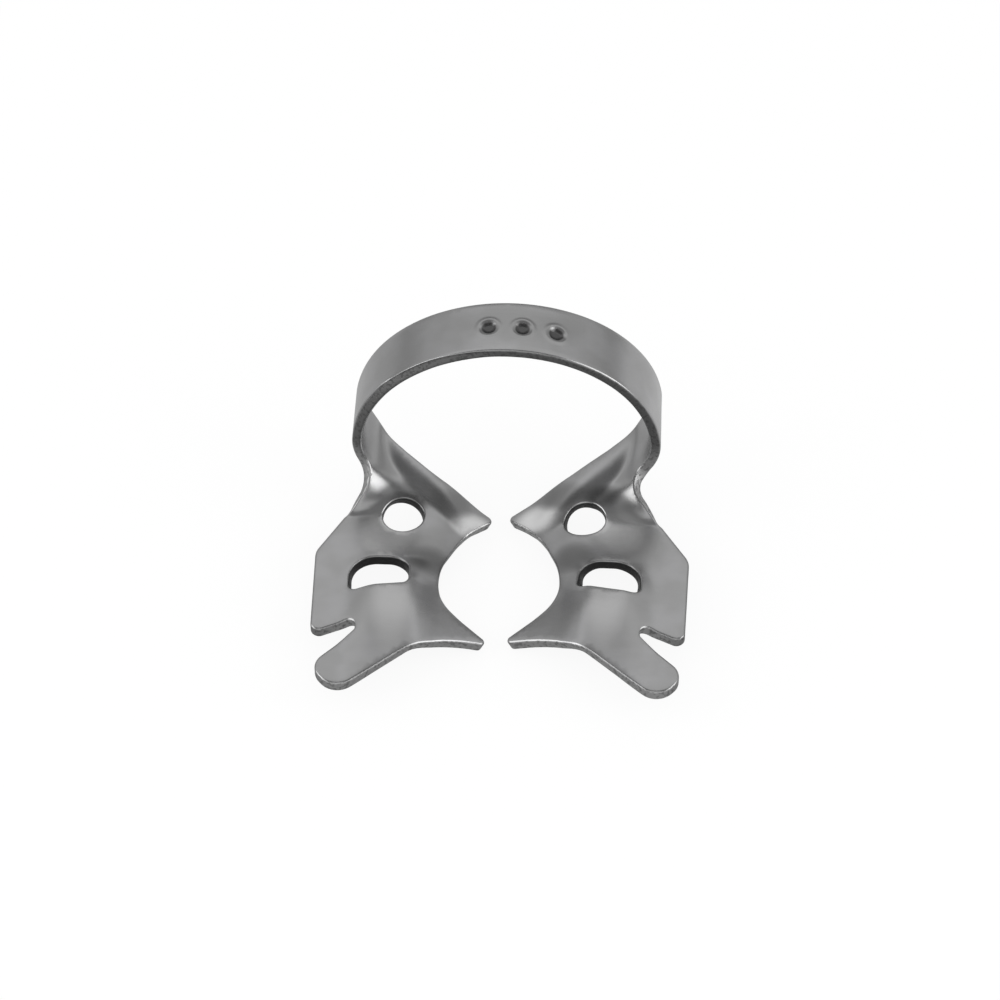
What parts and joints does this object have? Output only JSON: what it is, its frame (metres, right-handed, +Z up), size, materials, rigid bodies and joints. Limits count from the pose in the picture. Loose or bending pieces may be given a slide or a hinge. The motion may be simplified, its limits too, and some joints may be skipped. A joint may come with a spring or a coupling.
{
  "type": "rubber dam clamp",
  "caption": "Winged spring-steel clamp that grips a tooth's neck and holds a rubber dam open around it.",
  "frame": {"origin": "centre of the base of the clamp's bounding box, at the beaks' lowest points", "axes": "+X across the jaws, +Y from the front lobes back to the bow, +Z up toward the bow's crown"},
  "size_m": [0.0286, 0.0254, 0.0186],
  "materials": {
    "clamp": "satin polished"
  },
  "bodies": {
    "root": {"clamp": "clamp"}
  },
  "joints": []
}
